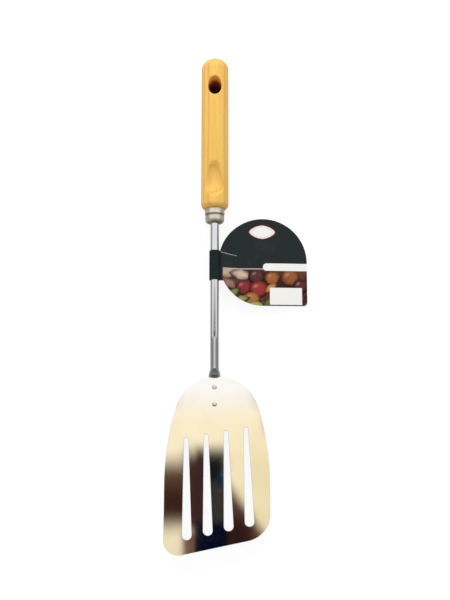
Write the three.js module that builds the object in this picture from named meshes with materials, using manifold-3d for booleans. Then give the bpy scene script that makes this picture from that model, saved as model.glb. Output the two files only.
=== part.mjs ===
// A slotted kitchen turner, lying on a table with the food side up.
// Wooden handle, metal ferrule, cranked tube shank, riveted slotted blade and a card hang tag.
// Millimetres. +X is to the right across the blade, +Y runs from the blade to the handle's butt, +Z is up.

import * as THREE from 'three';
import { mergeVertices } from 'three/addons/utils/BufferGeometryUtils.js';
import Module from 'manifold-3d';

const wasm = await Module();
wasm.setup();

const degrees = Math.PI / 180;

// Handle
const HANDLE_DIAMETER = 20.9;
const HANDLE_LENGTH = 122.2;
const BUTT_ROUND = 8.5;
const SHOULDER_ROUND = 5;
const HANDLE_SIDES = 40;
const HOLE_WIDTH = 10.4;
const HOLE_LENGTH = 14.8;
const HOLE_FROM_BUTT = 24.4;
const HOLE_SLOPE = 14 * degrees;
const SCOOP_LENGTH = 28.7;
const SCOOP_WIDTH = 14;
const SCOOP_ARCH_WIDTH = 8;
const SCOOP_ARCH_LENGTH = 4;
const SCOOP_TAIL_LENGTH = 13;
const SCOOP_HOLLOW = 0.9;
const SCOOP_FROM_SHOULDER = 7.3;

// Ferrule
const FERRULE_DIAMETER = 15;
const FERRULE_LENGTH = 11.3;
const FERRULE_WALL = 0.6;
const GROOVE_FROM_SHOULDER = 5;
const GROOVE_WIDTH = 1.5;
const GROOVE_DEPTH = 0.5;
const NOSE_LENGTH = 3.6;

// Shank
const SHANK_DIAMETER = 6.4;
const SHANK_WALL = 0.9;
const SHANK_REACH = 116.6;
const TANG_DEPTH = 55;
const CRANK_ANGLE = 16.5 * degrees;
const CRANK_BEND_RADIUS = 30;
const HEEL_BEND_RADIUS = 26;
const TAIL_LENGTH = 32;
const TAIL_THICKNESS = 2;

// Blade
const BLADE_THICKNESS = 0.9;
const BLADE_LENGTH = 131.1;
const BLADE_WIDTH = 77.4;
const BLADE_OFFSET = 2;
const BLADE_RISE = 3.4 * degrees;
const HEEL_INSET = 6.8;
const WIDEST_FROM_FRONT = 50.5;
const FRONT_SLANT = 11.8 * degrees;
const LEFT_CORNER_RADIUS = 11;
const RIGHT_CORNER_RADIUS = 20;

// Slots in the blade
const SLOT_COUNT = 4;
const SLOT_PITCH = 15.15;
const SLOT_LENGTH = 74.4;
const SLOT_SHORTENING = 0.6;
const SLOT_HEEL_WIDTH = 3.2;
const SLOT_FRONT_WIDTH = 6.9;
const SLOT_FRONT_MARGIN = 10.1;
const SLOT_LEAN = 1.42 * degrees;
const SLOT_FAN = 0.38 * degrees;

// Rivets
const RIVET_DIAMETER = 3;
const RIVET_HEAD_DIAMETER = 4;
const RIVET_HEAD_HEIGHT = 1.1;
const RIVET_FOOT_DIAMETER = 4.4;
const RIVET_FOOT_DEPTH = 0.8;
const RIVET_FROM_HEEL = 7.8;
const RIVET_PITCH = 12.8;

// Hang tag
const CARD_THICKNESS = 0.5;
const CARD_RADIUS = 34;
const CARD_CORNER_RADIUS = 3;
const STRAP_WIDTH = 22.8;
const STRAP_FROM_NOSE = 21.6;
const NECK_LENGTH = 2.38;
const CARD_OFFSET = 3.7;
const TAB_LENGTH = 12.5;
const TAB_TIP_WIDTH = 16.8;

// Clearances
const WOOD_FIT = 0.2;
const METAL_FIT = 0.2;
const STRAP_FIT = 0.4;
const CARD_FIT = 0.3;
const TABLE_FIT = 0.2;
const HEEL_MARGIN = 0.5;
const CUT_MARGIN = 2;

// Values that several pieces share
const handleRadius = HANDLE_DIAMETER / 2;
const ferruleRadius = FERRULE_DIAMETER / 2;
const shankRadius = SHANK_DIAMETER / 2;
const axisHeight = handleRadius * Math.cos(Math.PI / HANDLE_SIDES);
const boreRadius = shankRadius + WOOD_FIT;
const noseEnd = -FERRULE_LENGTH;
const tailStart = noseEnd - SHANK_REACH;
const grooveRadius = ferruleRadius - GROOVE_DEPTH;
const bladeSeat = TAIL_THICKNESS + METAL_FIT;

// Turns a closed geometry into a solid for cutting and joining.
function solidOf(geometry) {
  const bare = geometry.clone();
  bare.deleteAttribute('normal');
  bare.deleteAttribute('uv');
  const merged = mergeVertices(bare, 1e-4);
  const mesh = new wasm.Mesh({
    numProp: 3,
    vertProperties: new Float32Array(merged.attributes.position.array),
    triVerts: new Uint32Array(merged.index.array),
  });
  return new wasm.Manifold(mesh);
}

// Turns a solid back into a geometry.
function geometryOf(solid) {
  const mesh = solid.getMesh();
  const geometry = new THREE.BufferGeometry();
  geometry.setAttribute('position', new THREE.BufferAttribute(mesh.vertProperties, 3));
  geometry.setIndex(new THREE.BufferAttribute(mesh.triVerts, 1));
  geometry.computeVertexNormals();
  return geometry;
}

// Cuts every tool geometry out of the first one.
function cut(geometry, ...tools) {
  let solid = solidOf(geometry);
  for (const tool of tools) {
    solid = solid.subtract(solidOf(tool));
  }
  return geometryOf(solid);
}

// Skins a list of rings, each with the same count of points, and caps both ends.
function loft(rings) {
  const sides = rings[0].length;
  const positions = [];
  const triangles = [];
  for (const ring of rings) {
    for (const point of ring) {
      positions.push(point.x, point.y, point.z);
    }
  }
  for (let row = 0; row + 1 < rings.length; row++) {
    for (let side = 0; side < sides; side++) {
      const a = row * sides + side;
      const b = row * sides + (side + 1) % sides;
      triangles.push(a, b, b + sides, a, b + sides, a + sides);
    }
  }
  const last = (rings.length - 1) * sides;
  for (let side = 1; side + 1 < sides; side++) {
    triangles.push(0, side + 1, side);
    triangles.push(last, last + side, last + side + 1);
  }
  const geometry = new THREE.BufferGeometry();
  geometry.setAttribute('position', new THREE.Float32BufferAttribute(positions, 3));
  geometry.setIndex(triangles);
  geometry.computeVertexNormals();
  return geometry;
}

// Points on a quarter ellipse from (radius, start) to (radius - inward, start + along).
function roundedEdge(radius, start, inward, along, steps) {
  const points = [];
  for (let i = 0; i <= steps; i++) {
    const angle = i / steps * Math.PI / 2;
    points.push(new THREE.Vector2(
      radius - inward * (1 - Math.cos(angle)),
      start + along * Math.sin(angle),
    ));
  }
  return points;
}

function named(name, geometry, material) {
  const mesh = new THREE.Mesh(geometry, material);
  mesh.name = name;
  return mesh;
}

const wood = new THREE.MeshStandardMaterial({ color: 0xe8b65f, roughness: 0.45, metalness: 0 });
const nickel = new THREE.MeshStandardMaterial({ color: 0xb9aca4, roughness: 0.35, metalness: 1 });
const chromeTube = new THREE.MeshStandardMaterial({ color: 0xd6d6d4, roughness: 0.12, metalness: 1 });
const chromeSheet = new THREE.MeshStandardMaterial({ color: 0xdcdad5, roughness: 0.1, metalness: 1 });
const rivetSteel = new THREE.MeshStandardMaterial({ color: 0xcfcfca, roughness: 0.2, metalness: 1 });
const strapCard = new THREE.MeshStandardMaterial({ color: 0x202a2a, roughness: 0.6, metalness: 0 });
const printedCard = new THREE.MeshStandardMaterial({ color: 0x2d3232, roughness: 0.55, metalness: 0 });

// Handle: turned round the shank's axis, from the tenon's front end to the domed butt.
function handle() {
  const tenonRadius = grooveRadius - FERRULE_WALL - WOOD_FIT;
  const tenonEnd = noseEnd + NOSE_LENGTH + WOOD_FIT;
  const shoulder = roundedEdge(handleRadius, SHOULDER_ROUND, handleRadius - ferruleRadius, -SHOULDER_ROUND, 6);
  const butt = roundedEdge(handleRadius, HANDLE_LENGTH - BUTT_ROUND, BUTT_ROUND, BUTT_ROUND, 8);
  const profile = [
    new THREE.Vector2(0, tenonEnd),
    new THREE.Vector2(tenonRadius, tenonEnd),
    new THREE.Vector2(tenonRadius, 0),
    ...shoulder.reverse(),
    ...butt,
    new THREE.Vector2(0, HANDLE_LENGTH),
  ];
  const turned = new THREE.LatheGeometry(profile, HANDLE_SIDES, Math.PI / HANDLE_SIDES);

  const boreStart = tenonEnd - CUT_MARGIN;
  const boreEnd = TANG_DEPTH + WOOD_FIT;
  const bore = new THREE.CylinderGeometry(boreRadius, boreRadius, boreEnd - boreStart, 24);
  bore.translate(0, (boreStart + boreEnd) / 2, 0);

  const oval = new THREE.Shape();
  oval.absellipse(0, 0, HOLE_WIDTH / 2, HOLE_LENGTH / 2, 0, 2 * Math.PI);
  const holeDepth = 2 * HANDLE_DIAMETER;
  const hole = new THREE.ExtrudeGeometry(oval, { depth: holeDepth, bevelEnabled: false, curveSegments: 32 });
  hole.translate(0, 0, -0.75 * holeDepth);
  hole.rotateX(-HOLE_SLOPE);
  hole.translate(0, HANDLE_LENGTH - HOLE_FROM_BUTT, handleRadius);

  return named('handle', cut(turned, bore, hole, scoop()), wood);
}

// The thumb scoop's cutter: a round arch toward the butt, widening toward the ferrule, hollow across the handle.
function scoop() {
  const lift = 1.5;
  const steps = 18;
  const sides = 20;
  const rings = [];
  for (let i = 1; i < steps; i++) {
    const along = SCOOP_LENGTH * (1 - Math.cos(i / steps * Math.PI)) / 2;
    const fromArch = SCOOP_LENGTH - along;
    const widening = THREE.MathUtils.smoothstep(fromArch, 0, SCOOP_LENGTH - SCOOP_TAIL_LENGTH);
    const arch = Math.sqrt(1 - Math.max(0, 1 - fromArch / SCOOP_ARCH_LENGTH) ** 2);
    const tail = 1 - Math.max(0, 1 - along / SCOOP_TAIL_LENGTH) ** 2;
    const half = THREE.MathUtils.lerp(SCOOP_ARCH_WIDTH, SCOOP_WIDTH, widening) / 2 * arch * tail;
    const edge = Math.sqrt(handleRadius ** 2 - half ** 2);
    const height = handleRadius - edge + SCOOP_HOLLOW * arch * tail + lift;
    const reach = half / Math.sqrt(1 - ((edge - handleRadius - lift) / height) ** 2);
    const ring = [];
    for (let side = 0; side < sides; side++) {
      const angle = side / sides * 2 * Math.PI;
      ring.push(new THREE.Vector3(
        reach * Math.sin(angle),
        SCOOP_FROM_SHOULDER + along,
        handleRadius + lift + height * Math.cos(angle),
      ));
    }
    rings.push(ring);
  }
  return loft(rings);
}

// Ferrule: a thin drawn cap, grooved where it grips the tenon and domed down to the shank.
function ferrule() {
  const holeRadius = shankRadius + METAL_FIT;
  const grooveStart = -GROOVE_FROM_SHOULDER + GROOVE_WIDTH / 2;
  const grooveEnd = -GROOVE_FROM_SHOULDER - GROOVE_WIDTH / 2;
  const noseStart = noseEnd + NOSE_LENGTH;
  const skin = (inset, tip) => {
    const radius = ferruleRadius - inset;
    const steps = 6;
    const groove = [];
    for (let i = 0; i <= steps; i++) {
      const angle = i / steps * Math.PI;
      groove.push(new THREE.Vector2(
        radius - GROOVE_DEPTH * Math.sin(angle),
        grooveStart + (grooveEnd - grooveStart) * (1 - Math.cos(angle)) / 2,
      ));
    }
    const nose = roundedEdge(radius, noseStart, radius - holeRadius, tip - noseStart, 8);
    return [new THREE.Vector2(radius, -METAL_FIT), ...groove, ...nose];
  };
  const outside = skin(0, noseEnd);
  const inside = skin(FERRULE_WALL, noseEnd + FERRULE_WALL);
  const profile = [...inside, ...outside.reverse(), inside[0].clone()];
  return named('ferrule', new THREE.LatheGeometry(profile, 36), nickel);
}

// Stations along the shank: the point of its underside, the slope there and how far the tube is pressed flat.
function shankStations() {
  const steps = 8;
  const foot = (y, z, slope, flat) => ({ y, z, slope, flat });
  const heelY = tailStart + HEEL_BEND_RADIUS * Math.sin(BLADE_RISE);
  const innerBend = CRANK_BEND_RADIUS - shankRadius;
  const crankCentre = axisHeight - CRANK_BEND_RADIUS;
  const low = HEEL_BEND_RADIUS * (1 - Math.cos(CRANK_ANGLE));
  const high = crankCentre + innerBend * Math.cos(CRANK_ANGLE);
  const crankRun = (high - low) / Math.tan(CRANK_ANGLE);
  const crankY = heelY + (HEEL_BEND_RADIUS + innerBend) * Math.sin(CRANK_ANGLE) + crankRun;

  const stations = [foot(TANG_DEPTH, axisHeight - shankRadius, 0, 0)];
  for (let i = 0; i <= steps; i++) {
    const slope = CRANK_ANGLE * i / steps;
    stations.push(foot(
      crankY - innerBend * Math.sin(slope),
      crankCentre + innerBend * Math.cos(slope),
      slope,
      0,
    ));
  }
  for (let i = 0; i <= steps; i++) {
    const share = i / steps;
    const slope = CRANK_ANGLE - (CRANK_ANGLE + BLADE_RISE) * share;
    stations.push(foot(
      heelY + HEEL_BEND_RADIUS * Math.sin(slope),
      HEEL_BEND_RADIUS * (1 - Math.cos(slope)),
      slope,
      THREE.MathUtils.smoothstep(share, 0, 1),
    ));
  }
  const start = stations[stations.length - 1];
  stations.push(foot(
    start.y - TAIL_LENGTH * Math.cos(BLADE_RISE),
    start.z + TAIL_LENGTH * Math.sin(BLADE_RISE),
    -BLADE_RISE,
    1,
  ));
  return stations;
}

// One ring of the shank: a circle, a flattened tube of the same girth, or a blend of the two.
function shankRing(station, radius, sides) {
  const tailWidth = TAIL_THICKNESS + Math.PI * (SHANK_DIAMETER - TAIL_THICKNESS) / 2;
  const ring = [];
  for (let side = 0; side < sides; side++) {
    const angle = (side + 0.5) / sides * 2 * Math.PI;
    const across = Math.cos(angle);
    const up = Math.sin(angle);
    const flatAcross = across * TAIL_THICKNESS / 2 + Math.sign(across) * (tailWidth - TAIL_THICKNESS) / 2;
    const level = Math.cos(Math.PI / sides);
    const x = THREE.MathUtils.lerp(radius * across, flatAcross, station.flat);
    const roundHeight = shankRadius + radius * up;
    const flatHeight = (1 + THREE.MathUtils.clamp(up / level, -1, 1)) * TAIL_THICKNESS / 2;
    const height = THREE.MathUtils.lerp(roundHeight, flatHeight, station.flat);
    ring.push(new THREE.Vector3(
      x,
      station.y - height * Math.sin(station.slope),
      station.z + height * Math.cos(station.slope),
    ));
  }
  return ring;
}

// Shank: a tube from the tang in the handle to the crank, pressed flat where it runs under the blade.
function shank(heel) {
  const stations = shankStations();
  const outside = loft(stations.map((station) => shankRing(station, shankRadius, 28)));
  const open = { ...stations[0], y: stations[0].y + CUT_MARGIN };
  const hollow = [open, ...stations.filter((station) => station.flat === 0)];
  const inside = loft(hollow.map((station) => shankRing(station, shankRadius - SHANK_WALL, 20)));
  const rivetHoles = rivetPlaces().map((place) => {
    const tool = rivetGeometry(METAL_FIT);
    tool.translate(place.x, place.y, place.z);
    tool.applyMatrix4(heel.matrix);
    return tool;
  });
  return named('shank', cut(outside, inside, ...rivetHoles), chromeTube);
}

// Blade outline in the blade's own plane: the heel's edge is at y = 0 and the front edge lies toward -y.
function bladeOutline() {
  const half = BLADE_WIDTH / 2;
  const heelRadius = half - HEEL_INSET;
  const left = BLADE_OFFSET - half;
  const right = BLADE_OFFSET + half;
  const widest = -(BLADE_LENGTH - WIDEST_FROM_FRONT);
  const drop = -heelRadius - widest;
  const sideRadius = (half ** 2 + drop ** 2 - heelRadius ** 2) / (2 * HEEL_INSET);
  const shoulder = Math.atan2(drop, sideRadius - half);
  const leftCentre = new THREE.Vector2(left + LEFT_CORNER_RADIUS, -BLADE_LENGTH + LEFT_CORNER_RADIUS);
  const rightX = right - RIGHT_CORNER_RADIUS;
  const rightCentre = new THREE.Vector2(
    rightX,
    frontEdge(rightX) + RIGHT_CORNER_RADIUS / Math.cos(FRONT_SLANT),
  );
  const outline = new THREE.Shape();
  outline.absarc(BLADE_OFFSET, -heelRadius, heelRadius, shoulder, Math.PI - shoulder, false);
  outline.absarc(left + sideRadius, widest, sideRadius, Math.PI - shoulder, Math.PI, false);
  outline.absarc(leftCentre.x, leftCentre.y, LEFT_CORNER_RADIUS, Math.PI, 1.5 * Math.PI + FRONT_SLANT, false);
  outline.absarc(
    rightCentre.x, rightCentre.y, RIGHT_CORNER_RADIUS, 1.5 * Math.PI + FRONT_SLANT, 2 * Math.PI, false,
  );
  outline.absarc(right - sideRadius, widest, sideRadius, 0, shoulder, false);
  return outline;
}

// The straight front edge: its y at a given x in the blade's plane.
function frontEdge(x) {
  const left = BLADE_OFFSET - BLADE_WIDTH / 2;
  const centreX = left + LEFT_CORNER_RADIUS;
  const centreY = -BLADE_LENGTH + LEFT_CORNER_RADIUS;
  return centreY - LEFT_CORNER_RADIUS / Math.cos(FRONT_SLANT) + (x - centreX) * Math.tan(FRONT_SLANT);
}

// One tapered slot with round ends, set back from the front edge and leaning with its place in the row.
function slot(index) {
  const place = index - (SLOT_COUNT - 1) / 2;
  const lean = SLOT_LEAN + place * SLOT_FAN;
  const heelRadius = SLOT_HEEL_WIDTH / 2;
  const frontRadius = SLOT_FRONT_WIDTH / 2;
  const spacing = SLOT_LENGTH - index * SLOT_SHORTENING - heelRadius - frontRadius;
  const frontX = BLADE_OFFSET + SLOT_LENGTH / 2 * Math.sin(SLOT_LEAN) + place * SLOT_PITCH;
  const frontY = frontEdge(frontX) + SLOT_FRONT_MARGIN + frontRadius;
  const heelX = frontX - spacing * Math.sin(lean);
  const heelY = frontY + spacing * Math.cos(lean);
  const taper = Math.asin((frontRadius - heelRadius) / spacing);
  const path = new THREE.Path();
  path.absarc(heelX, heelY, heelRadius, lean + taper, Math.PI + lean - taper, false);
  path.absarc(frontX, frontY, frontRadius, Math.PI + lean - taper, 2 * Math.PI + lean + taper, false);
  return path;
}

function blade() {
  const outline = bladeOutline();
  for (let index = 0; index < SLOT_COUNT; index++) {
    outline.holes.push(slot(index));
  }
  for (const place of rivetPlaces()) {
    const hole = new THREE.Path();
    hole.absarc(place.x, place.y + HEEL_MARGIN, RIVET_DIAMETER / 2 + METAL_FIT, 0, 2 * Math.PI, false);
    outline.holes.push(hole);
  }
  const sheet = new THREE.ExtrudeGeometry(outline, {
    depth: BLADE_THICKNESS,
    bevelEnabled: false,
    curveSegments: 18,
  });
  const mesh = named('blade', cut(sheet), chromeSheet);
  mesh.position.set(0, -HEEL_MARGIN, bladeSeat);
  return mesh;
}

// Rivet axes, in the frame of the tail's flat underside.
function rivetPlaces() {
  const first = -HEEL_MARGIN - RIVET_FROM_HEEL;
  return [
    new THREE.Vector3(0, first, 0),
    new THREE.Vector3(0, first - RIVET_PITCH, 0),
  ];
}

// A rivet, or with some clearance the hole that takes it: a domed head above the blade, a flush foot below the tail.
function rivetGeometry(clearance) {
  const flush = METAL_FIT / 2;
  const flare = (RIVET_FOOT_DIAMETER - RIVET_DIAMETER) / 2 / (RIVET_FOOT_DEPTH - flush);
  const bottom = flush - 2 * clearance;
  const stem = RIVET_DIAMETER / 2 + clearance;
  const foot = RIVET_FOOT_DIAMETER / 2 + clearance + flare * (flush - bottom);
  const head = RIVET_HEAD_DIAMETER / 2 + clearance;
  const seat = bladeSeat + BLADE_THICKNESS + METAL_FIT - clearance;
  const profile = [
    new THREE.Vector2(0, bottom),
    new THREE.Vector2(foot, bottom),
    new THREE.Vector2(stem, RIVET_FOOT_DEPTH),
    new THREE.Vector2(stem, seat),
    ...roundedEdge(head, seat, head, RIVET_HEAD_HEIGHT, 6),
  ];
  profile[profile.length - 1].x = 0;
  const turned = new THREE.LatheGeometry(profile, 20);
  turned.rotateX(Math.PI / 2);
  return turned;
}

function rivets() {
  const names = ['rivet_heel', 'rivet_front'];
  return rivetPlaces().map((place, index) => {
    const mesh = named(names[index], rivetGeometry(0), rivetSteel);
    mesh.position.copy(place);
    return mesh;
  });
}

// Hang tag strap: the loop of card round the shank, its axis along the shank.
function tagStrap() {
  const inside = shankRadius + STRAP_FIT;
  const band = new THREE.Shape();
  band.absarc(0, 0, inside + CARD_THICKNESS, 0, 2 * Math.PI, false);
  const bore = new THREE.Path();
  bore.absarc(0, 0, inside, 0, 2 * Math.PI, false);
  band.holes.push(bore);
  const loop = new THREE.ExtrudeGeometry(band, { depth: STRAP_WIDTH, bevelEnabled: false, curveSegments: 28 });
  loop.rotateX(Math.PI / 2);
  loop.translate(0, STRAP_WIDTH / 2, 0);
  return named('tag_strap', cut(loop), strapCard);
}

// Hang tag card: a disc with one squared corner, a neck to the strap and the strap's tucked end on its face.
function tagCard() {
  const nearEdge = shankRadius + STRAP_FIT + CARD_THICKNESS + CARD_FIT;
  const halfStrap = STRAP_WIDTH / 2;
  const neckReach = (side) => Math.sqrt(CARD_RADIUS ** 2 - (side - CARD_OFFSET) ** 2);
  const neckTurn = (side) => Math.atan2(side - CARD_OFFSET, -neckReach(side));
  const centre = nearEdge + NECK_LENGTH + Math.min(neckReach(halfStrap), neckReach(-halfStrap));
  const farEdge = centre + CARD_RADIUS;
  const lowEdge = CARD_OFFSET - CARD_RADIUS;
  const corner = CARD_CORNER_RADIUS;

  const face = new THREE.Shape();
  face.moveTo(nearEdge, -halfStrap);
  face.absarc(centre, CARD_OFFSET, CARD_RADIUS, neckTurn(-halfStrap), -Math.PI / 2, false);
  face.absarc(farEdge - corner, lowEdge + corner, corner, -Math.PI / 2, 0, false);
  face.absarc(centre, CARD_OFFSET, CARD_RADIUS, 0, neckTurn(halfStrap), false);
  face.lineTo(nearEdge, halfStrap);
  const sheet = new THREE.ExtrudeGeometry(face, { depth: CARD_THICKNESS, bevelEnabled: false, curveSegments: 24 });

  const tab = new THREE.Shape();
  tab.moveTo(nearEdge, -halfStrap + CARD_THICKNESS);
  tab.lineTo(nearEdge + TAB_LENGTH, -TAB_TIP_WIDTH / 2);
  tab.lineTo(nearEdge + TAB_LENGTH, TAB_TIP_WIDTH / 2);
  tab.lineTo(nearEdge, halfStrap - CARD_THICKNESS);
  const fold = new THREE.ExtrudeGeometry(tab, { depth: 2 * CARD_THICKNESS, bevelEnabled: false });

  const joined = geometryOf(solidOf(sheet).add(solidOf(fold)));
  joined.translate(0, 0, -CARD_THICKNESS / 2);
  const mesh = named('tag_card', joined, printedCard);
  mesh.rotation.y = Math.asin((axisHeight - CARD_THICKNESS / 2 - TABLE_FIT) / farEdge);
  return mesh;
}

const turner = new THREE.Group();

const gripAxis = new THREE.Group();
gripAxis.position.z = axisHeight;
gripAxis.add(handle(), ferrule());
turner.add(gripAxis);

const heelStation = shankStations().at(-2);
const heel = new THREE.Group();
heel.position.set(0, heelStation.y, heelStation.z);
heel.rotation.x = -BLADE_RISE;
heel.updateMatrix();
heel.add(blade(), ...rivets());
turner.add(heel, shank(heel));

const tag = new THREE.Group();
tag.position.set(0, noseEnd - STRAP_FROM_NOSE - STRAP_WIDTH / 2, axisHeight);
tag.add(tagStrap(), tagCard());
turner.add(tag);

// The part's origin is the middle of its footprint, on the table.
const part = new THREE.Group();
part.add(turner);
part.updateMatrixWorld(true);
const bounds = new THREE.Box3().setFromObject(turner, true);
const middle = bounds.getCenter(new THREE.Vector3());
turner.position.set(-middle.x, -middle.y, -bounds.min.z);

export default part;
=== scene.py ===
from math import asin, atan2, copysign, cos, pi, radians, sin, sqrt, tan

import bmesh
import bpy
from mathutils import Matrix, Vector


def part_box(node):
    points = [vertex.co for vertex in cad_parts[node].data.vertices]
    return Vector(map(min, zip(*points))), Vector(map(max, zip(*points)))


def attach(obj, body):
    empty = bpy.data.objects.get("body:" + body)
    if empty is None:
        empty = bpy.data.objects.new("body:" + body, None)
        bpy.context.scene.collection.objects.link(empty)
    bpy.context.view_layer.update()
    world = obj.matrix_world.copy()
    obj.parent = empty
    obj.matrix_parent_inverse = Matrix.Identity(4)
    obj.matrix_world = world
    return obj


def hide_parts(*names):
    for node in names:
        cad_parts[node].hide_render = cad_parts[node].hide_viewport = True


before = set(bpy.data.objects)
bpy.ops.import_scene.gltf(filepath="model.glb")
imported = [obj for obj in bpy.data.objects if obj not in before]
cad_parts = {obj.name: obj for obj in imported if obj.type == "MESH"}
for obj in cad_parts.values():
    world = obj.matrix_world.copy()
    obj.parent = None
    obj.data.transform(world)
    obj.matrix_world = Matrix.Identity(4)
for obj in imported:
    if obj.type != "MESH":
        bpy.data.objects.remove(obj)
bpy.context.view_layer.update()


# Shank: a thin steel tube, bright chrome plated. It comes straight out of the handle, is cranked down
# toward the table, and its end is pressed flat where it is riveted under the blade.
mm = 0.001
tube_radius = 3.2 * mm
tube_points = 72
crank_angle = radians(16.5)
crank_bend = 30 * mm
crank_steps = 24
heel_bend = 26 * mm
heel_steps = 40
shank_reach = 116.6 * mm
tail_length = 32 * mm
tail_thickness = 2.2 * mm
blade_rise = radians(3.4)
press_softness = 0.25 * mm
press_delay = 0.25
shank_tint = (0.78, 0.785, 0.79)
shank_cloud_tint = (0.73, 0.735, 0.74)

handle_low, handle_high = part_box("handle")
axis_x = (handle_low.x + handle_high.x) / 2
axis_z = (handle_low.z + handle_high.z) / 2
nose_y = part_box("ferrule")[0].y
tail_start = nose_y - shank_reach
# Painted shade: a dark olive oval in the chrome's colour where the tube runs under the blade's heel edge, on
# both shank and blade.
painted_shade_centre = (axis_x, tail_start - 0.4 * mm)
painted_shade_half = (4.4 * mm, 1.35 * mm)
painted_shade_tint = (0.12, 0.115, 0.06)
joint_painted_shade = (painted_shade_centre, painted_shade_half, painted_shade_tint)


def shank_stations():
    """Places down the shank: y and z of its underside, the slope there, and the share pressed flat."""
    heel_y = tail_start + heel_bend * sin(blade_rise)
    inner_bend = crank_bend - tube_radius
    crank_centre = axis_z - crank_bend
    low = heel_bend * (1 - cos(crank_angle))
    high = crank_centre + inner_bend * cos(crank_angle)
    slant_run = (high - low) / tan(crank_angle)
    crank_y = heel_y + (heel_bend + inner_bend) * sin(crank_angle) + slant_run
    places = [(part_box("shank")[1].y, axis_z - tube_radius, 0.0, 0.0)]
    for step in range(crank_steps + 1):
        slope = crank_angle * step / crank_steps
        y = crank_y - inner_bend * sin(slope)
        z = crank_centre + inner_bend * cos(slope)
        places.append((y, z, slope, 0.0))
    for step in range(heel_steps + 1):
        share = step / heel_steps
        slope = crank_angle - (crank_angle + blade_rise) * share
        y = heel_y + heel_bend * sin(slope)
        z = heel_bend * (1 - cos(slope))
        places.append((y, z, slope, max(0, share - press_delay) / (1 - press_delay)))
    y, z, slope, pressed = places[-1]
    y -= tail_length * cos(blade_rise)
    z += tail_length * sin(blade_rise)
    return [*places, (y, z, slope, pressed)]


def pressed_point(turn):
    """Where a point of the round tube lies once it is pressed flat: across, and up from the underside."""
    half = tail_thickness / 2
    flat = pi / 2 * (tube_radius - half)
    along = tube_radius * asin(abs(sin(turn)))
    bend = min(along / half, pi / 2)
    across = flat + half * cos(bend) - max(along - half * bend, 0)
    rise = half * sin(bend)
    return copysign(across, cos(turn)), half + copysign(rise, sin(turn))


def soft_min(first, second, softness):
    """The smaller of two lengths, with the corner between them rounded."""
    share = max(softness - abs(first - second), 0.0) / softness
    return min(first, second) - share * share * softness / 4


def shank_ring(y, z, slope, pressed):
    """One ring of the tube. Where it is being pressed, a flat facet sinks into its top."""
    widening = pressed * pressed * (3 - 2 * pressed)
    facet = 2 * tube_radius + (tail_thickness - 2 * tube_radius) * pressed
    ring = []
    for number in range(tube_points):
        turn = 2 * pi * number / tube_points
        flat_x, flat_up = pressed_point(turn)
        x = tube_radius * cos(turn) * (1 - widening) + flat_x * widening
        up = tube_radius * (1 + sin(turn)) * (1 - pressed ** 2) + flat_up * pressed ** 2
        if 0 < pressed < 1:
            up = soft_min(up, facet, press_softness)
        ring.append(Vector((axis_x + x, y - up * sin(slope), z + up * cos(slope))))
    return ring


def bridge(made, row, following):
    """A band of quads between two rings that have the same count of points."""
    faces = []
    for number in range(len(row)):
        after = (number + 1) % len(row)
        faces.append(made.faces.new((row[number], row[after], following[after], following[number])))
    return faces


def skin(made, rings, looped=False, capped=False):
    """Bands of quads through a list of rings. Looped joins the last ring to the first, capped fills both."""
    rows = [[made.verts.new(point) for point in ring] for ring in rings]
    for row, following in zip(rows, rows[1:] + rows[:looped]):
        bridge(made, row, following)
    if capped:
        made.faces.new(rows[0])
        made.faces.new(rows[-1])
    return rows


def mesh_from(name, made, crease):
    """A mesh out of a finished bmesh: faces out, smooth, and sharp at corners past an angle."""
    bmesh.ops.recalc_face_normals(made, faces=made.faces)
    mesh = bpy.data.meshes.new(name)
    made.to_mesh(mesh)
    made.free()
    mesh.shade_smooth()
    mesh.set_sharp_from_angle(angle=radians(crease))
    return mesh


def placed(name, data):
    """A new object in the scene, for a mesh, a lamp or a camera."""
    item = bpy.data.objects.new(name, data)
    bpy.context.scene.collection.objects.link(item)
    return item


def piece_from(name, made, crease, *finishes):
    """A finished bmesh as an object at the origin, with its materials."""
    mesh = mesh_from(name, made, crease)
    for finish in finishes:
        mesh.materials.append(finish)
    return placed(name, mesh)


class Term:
    """One output of a node. Doing sums with it adds the nodes that work them out."""

    def __init__(self, tree, socket):
        self.tree = tree
        self.socket = socket

    def __add__(self, other):
        return calc("ADD", self, other)

    def __sub__(self, other):
        return calc("SUBTRACT", self, other)

    def __rsub__(self, other):
        return calc("SUBTRACT", other, self)

    def __mul__(self, other):
        return calc("MULTIPLY", self, other)

    def __truediv__(self, other):
        return calc("DIVIDE", self, other)

    def __pow__(self, other):
        return calc("POWER", self, other)

    def __abs__(self):
        return calc("ABSOLUTE", self)


def feed(made, values):
    """Sets a node's inputs, or links them to terms, by name or number."""
    for label, value in values.items():
        socket = made.inputs[label]
        if isinstance(value, Term):
            value.tree.links.new(value.socket, socket)
        else:
            socket.default_value = (*value, 1) if socket.type == "RGBA" else value


def node(tree, kind, values=None, out=0, **settings):
    """Adds a node with its settings and inputs, and gives one of its outputs."""
    made = tree.nodes.new(kind)
    for label, value in settings.items():
        setattr(made, label, value)
    feed(made, values or {})
    return Term(tree, made.outputs[out])


def calc(operation, *terms):
    """One sum, of numbers and at least one term."""
    tree = next(term.tree for term in terms if isinstance(term, Term))
    return node(tree, "ShaderNodeMath", dict(enumerate(terms)), operation=operation)


def spread(value, low, high, to_low=0.0, to_high=1.0, kind="SMOOTHSTEP"):
    """Maps a value from one span to another, easing at both ends unless it is LINEAR."""
    return node(value.tree, "ShaderNodeMapRange", {
        "Value": value, "From Min": low, "From Max": high, "To Min": to_low, "To Max": to_high,
    }, interpolation_type=kind)


def tinted(share, first, second):
    """A colour between two others. Each is three numbers or a term."""
    colours = {0: share, 6: first, 7: second}
    return node(share.tree, "ShaderNodeMix", colours, 2, data_type="RGBA")


def length(place):
    """How far a place is from the origin."""
    return node(place.tree, "ShaderNodeVectorMath", {"Vector": place}, "Value", operation="LENGTH")


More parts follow.
